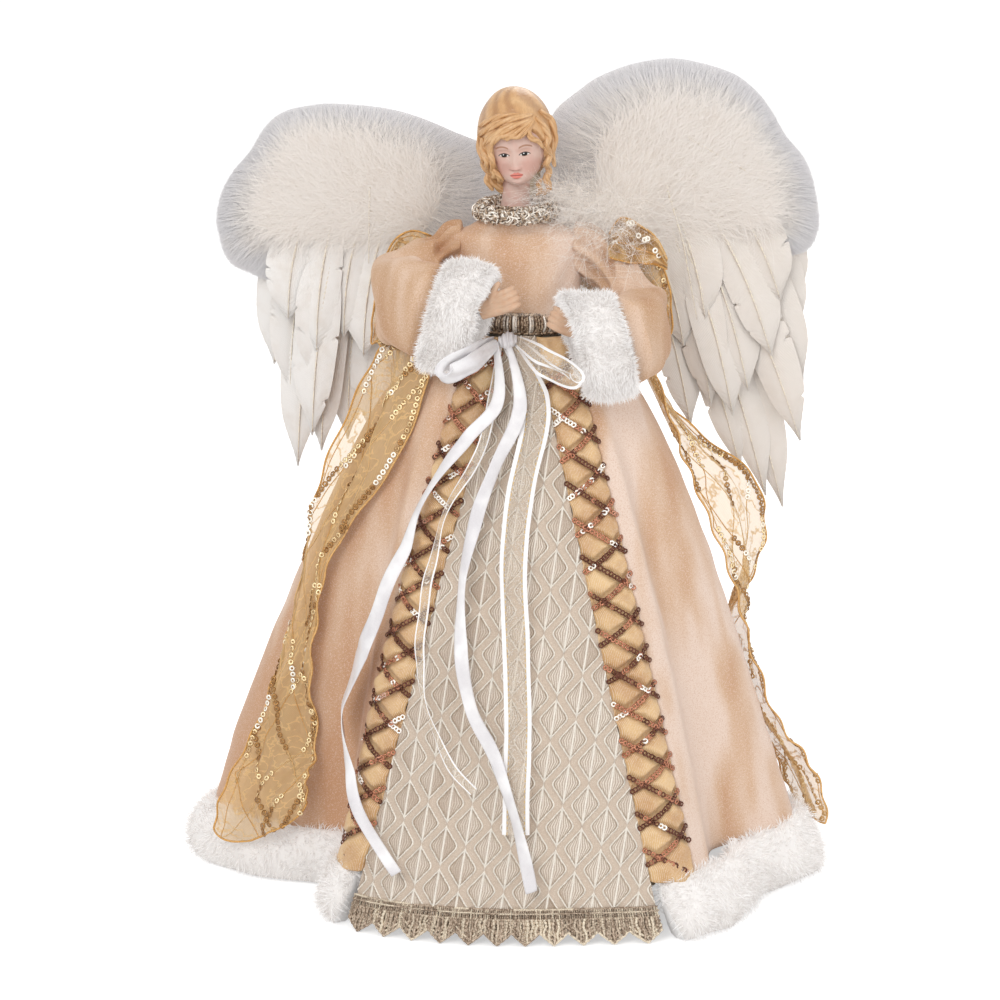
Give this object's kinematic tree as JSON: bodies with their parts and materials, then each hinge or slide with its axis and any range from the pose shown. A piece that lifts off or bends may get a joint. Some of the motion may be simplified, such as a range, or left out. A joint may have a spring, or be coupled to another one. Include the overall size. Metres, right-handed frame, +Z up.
{
  "type": "angel figurine",
  "caption": "Standing angel ornament with feather wings, velvet and brocade dress with fur trim, fur cuffs and a draped organza scarf, held up by a cone under the skirt.",
  "frame": {"origin": "centre of the underside of the base disc, on the surface it stands on", "axes": "+Z up, the figure faces -Y, +X is the viewer's right seen from the front"},
  "size_m": [0.3275, 0.2173, 0.4],
  "materials": {
    "card": "matt card",
    "foam": "matt foam",
    "wire": "drawn wire",
    "painted_head": "satin paint",
    "hand_skin": "satin paint",
    "velvet": "crushed velvet",
    "brocade": "raised weave",
    "satin_band": "padded satin",
    "sequins": "mirror sequins",
    "braid": "metallic yarn",
    "fur": "long pile",
    "ribbon": "satin",
    "sheer_ribbon": "sheer",
    "organza": "sheer, sequinned",
    "feather": "feather",
    "down": "fluffy down"
  },
  "bodies": {
    "root": {"base_disc": "card", "support_cone": "card", "left_wing_card": "card", "right_wing_card": "card", "torso_form": "foam", "wing_pad": "foam", "arm_wire": "wire", "head": "painted_head", "left_hand": "hand_skin", "right_hand": "hand_skin", "bodice": "velvet", "left_sleeve": "velvet", "right_sleeve": "velvet", "velvet_skirt": "velvet", "front_panel": "brocade", "left_sequin_band": "satin_band", "right_sequin_band": "satin_band", "left_sequin_lattice": "sequins", "right_sequin_lattice": "sequins", "hem_lace": "braid", "waist_braid": "braid", "collar_braid": "braid", "fur_hem": "fur", "left_cuff": "fur", "right_cuff": "fur", "bow_knot": "ribbon", "left_bow_loop": "ribbon", "right_bow_loop": "ribbon", "satin_tail_centre": "ribbon", "satin_tail_left": "ribbon", "sheer_tail": "sheer_ribbon", "thin_tail": "sheer_ribbon", "scarf": "organza", "left_flight_feather_1": "feather", "left_flight_feather_2": "feather", "left_flight_feather_3": "feather", "left_flight_feather_4": "feather", "left_flight_feather_5": "feather", "left_flight_feather_6": "feather", "left_flight_feather_7": "feather", "right_flight_feather_1": "feather", "right_flight_feather_2": "feather", "right_flight_feather_3": "feather", "right_flight_feather_4": "feather", "right_flight_feather_5": "feather", "right_flight_feather_6": "feather", "right_flight_feather_7": "feather", "right_flight_feather_8": "feather", "left_coverts": "feather", "right_coverts": "feather", "left_wing_down": "down", "right_wing_down": "down"}
  },
  "joints": []
}
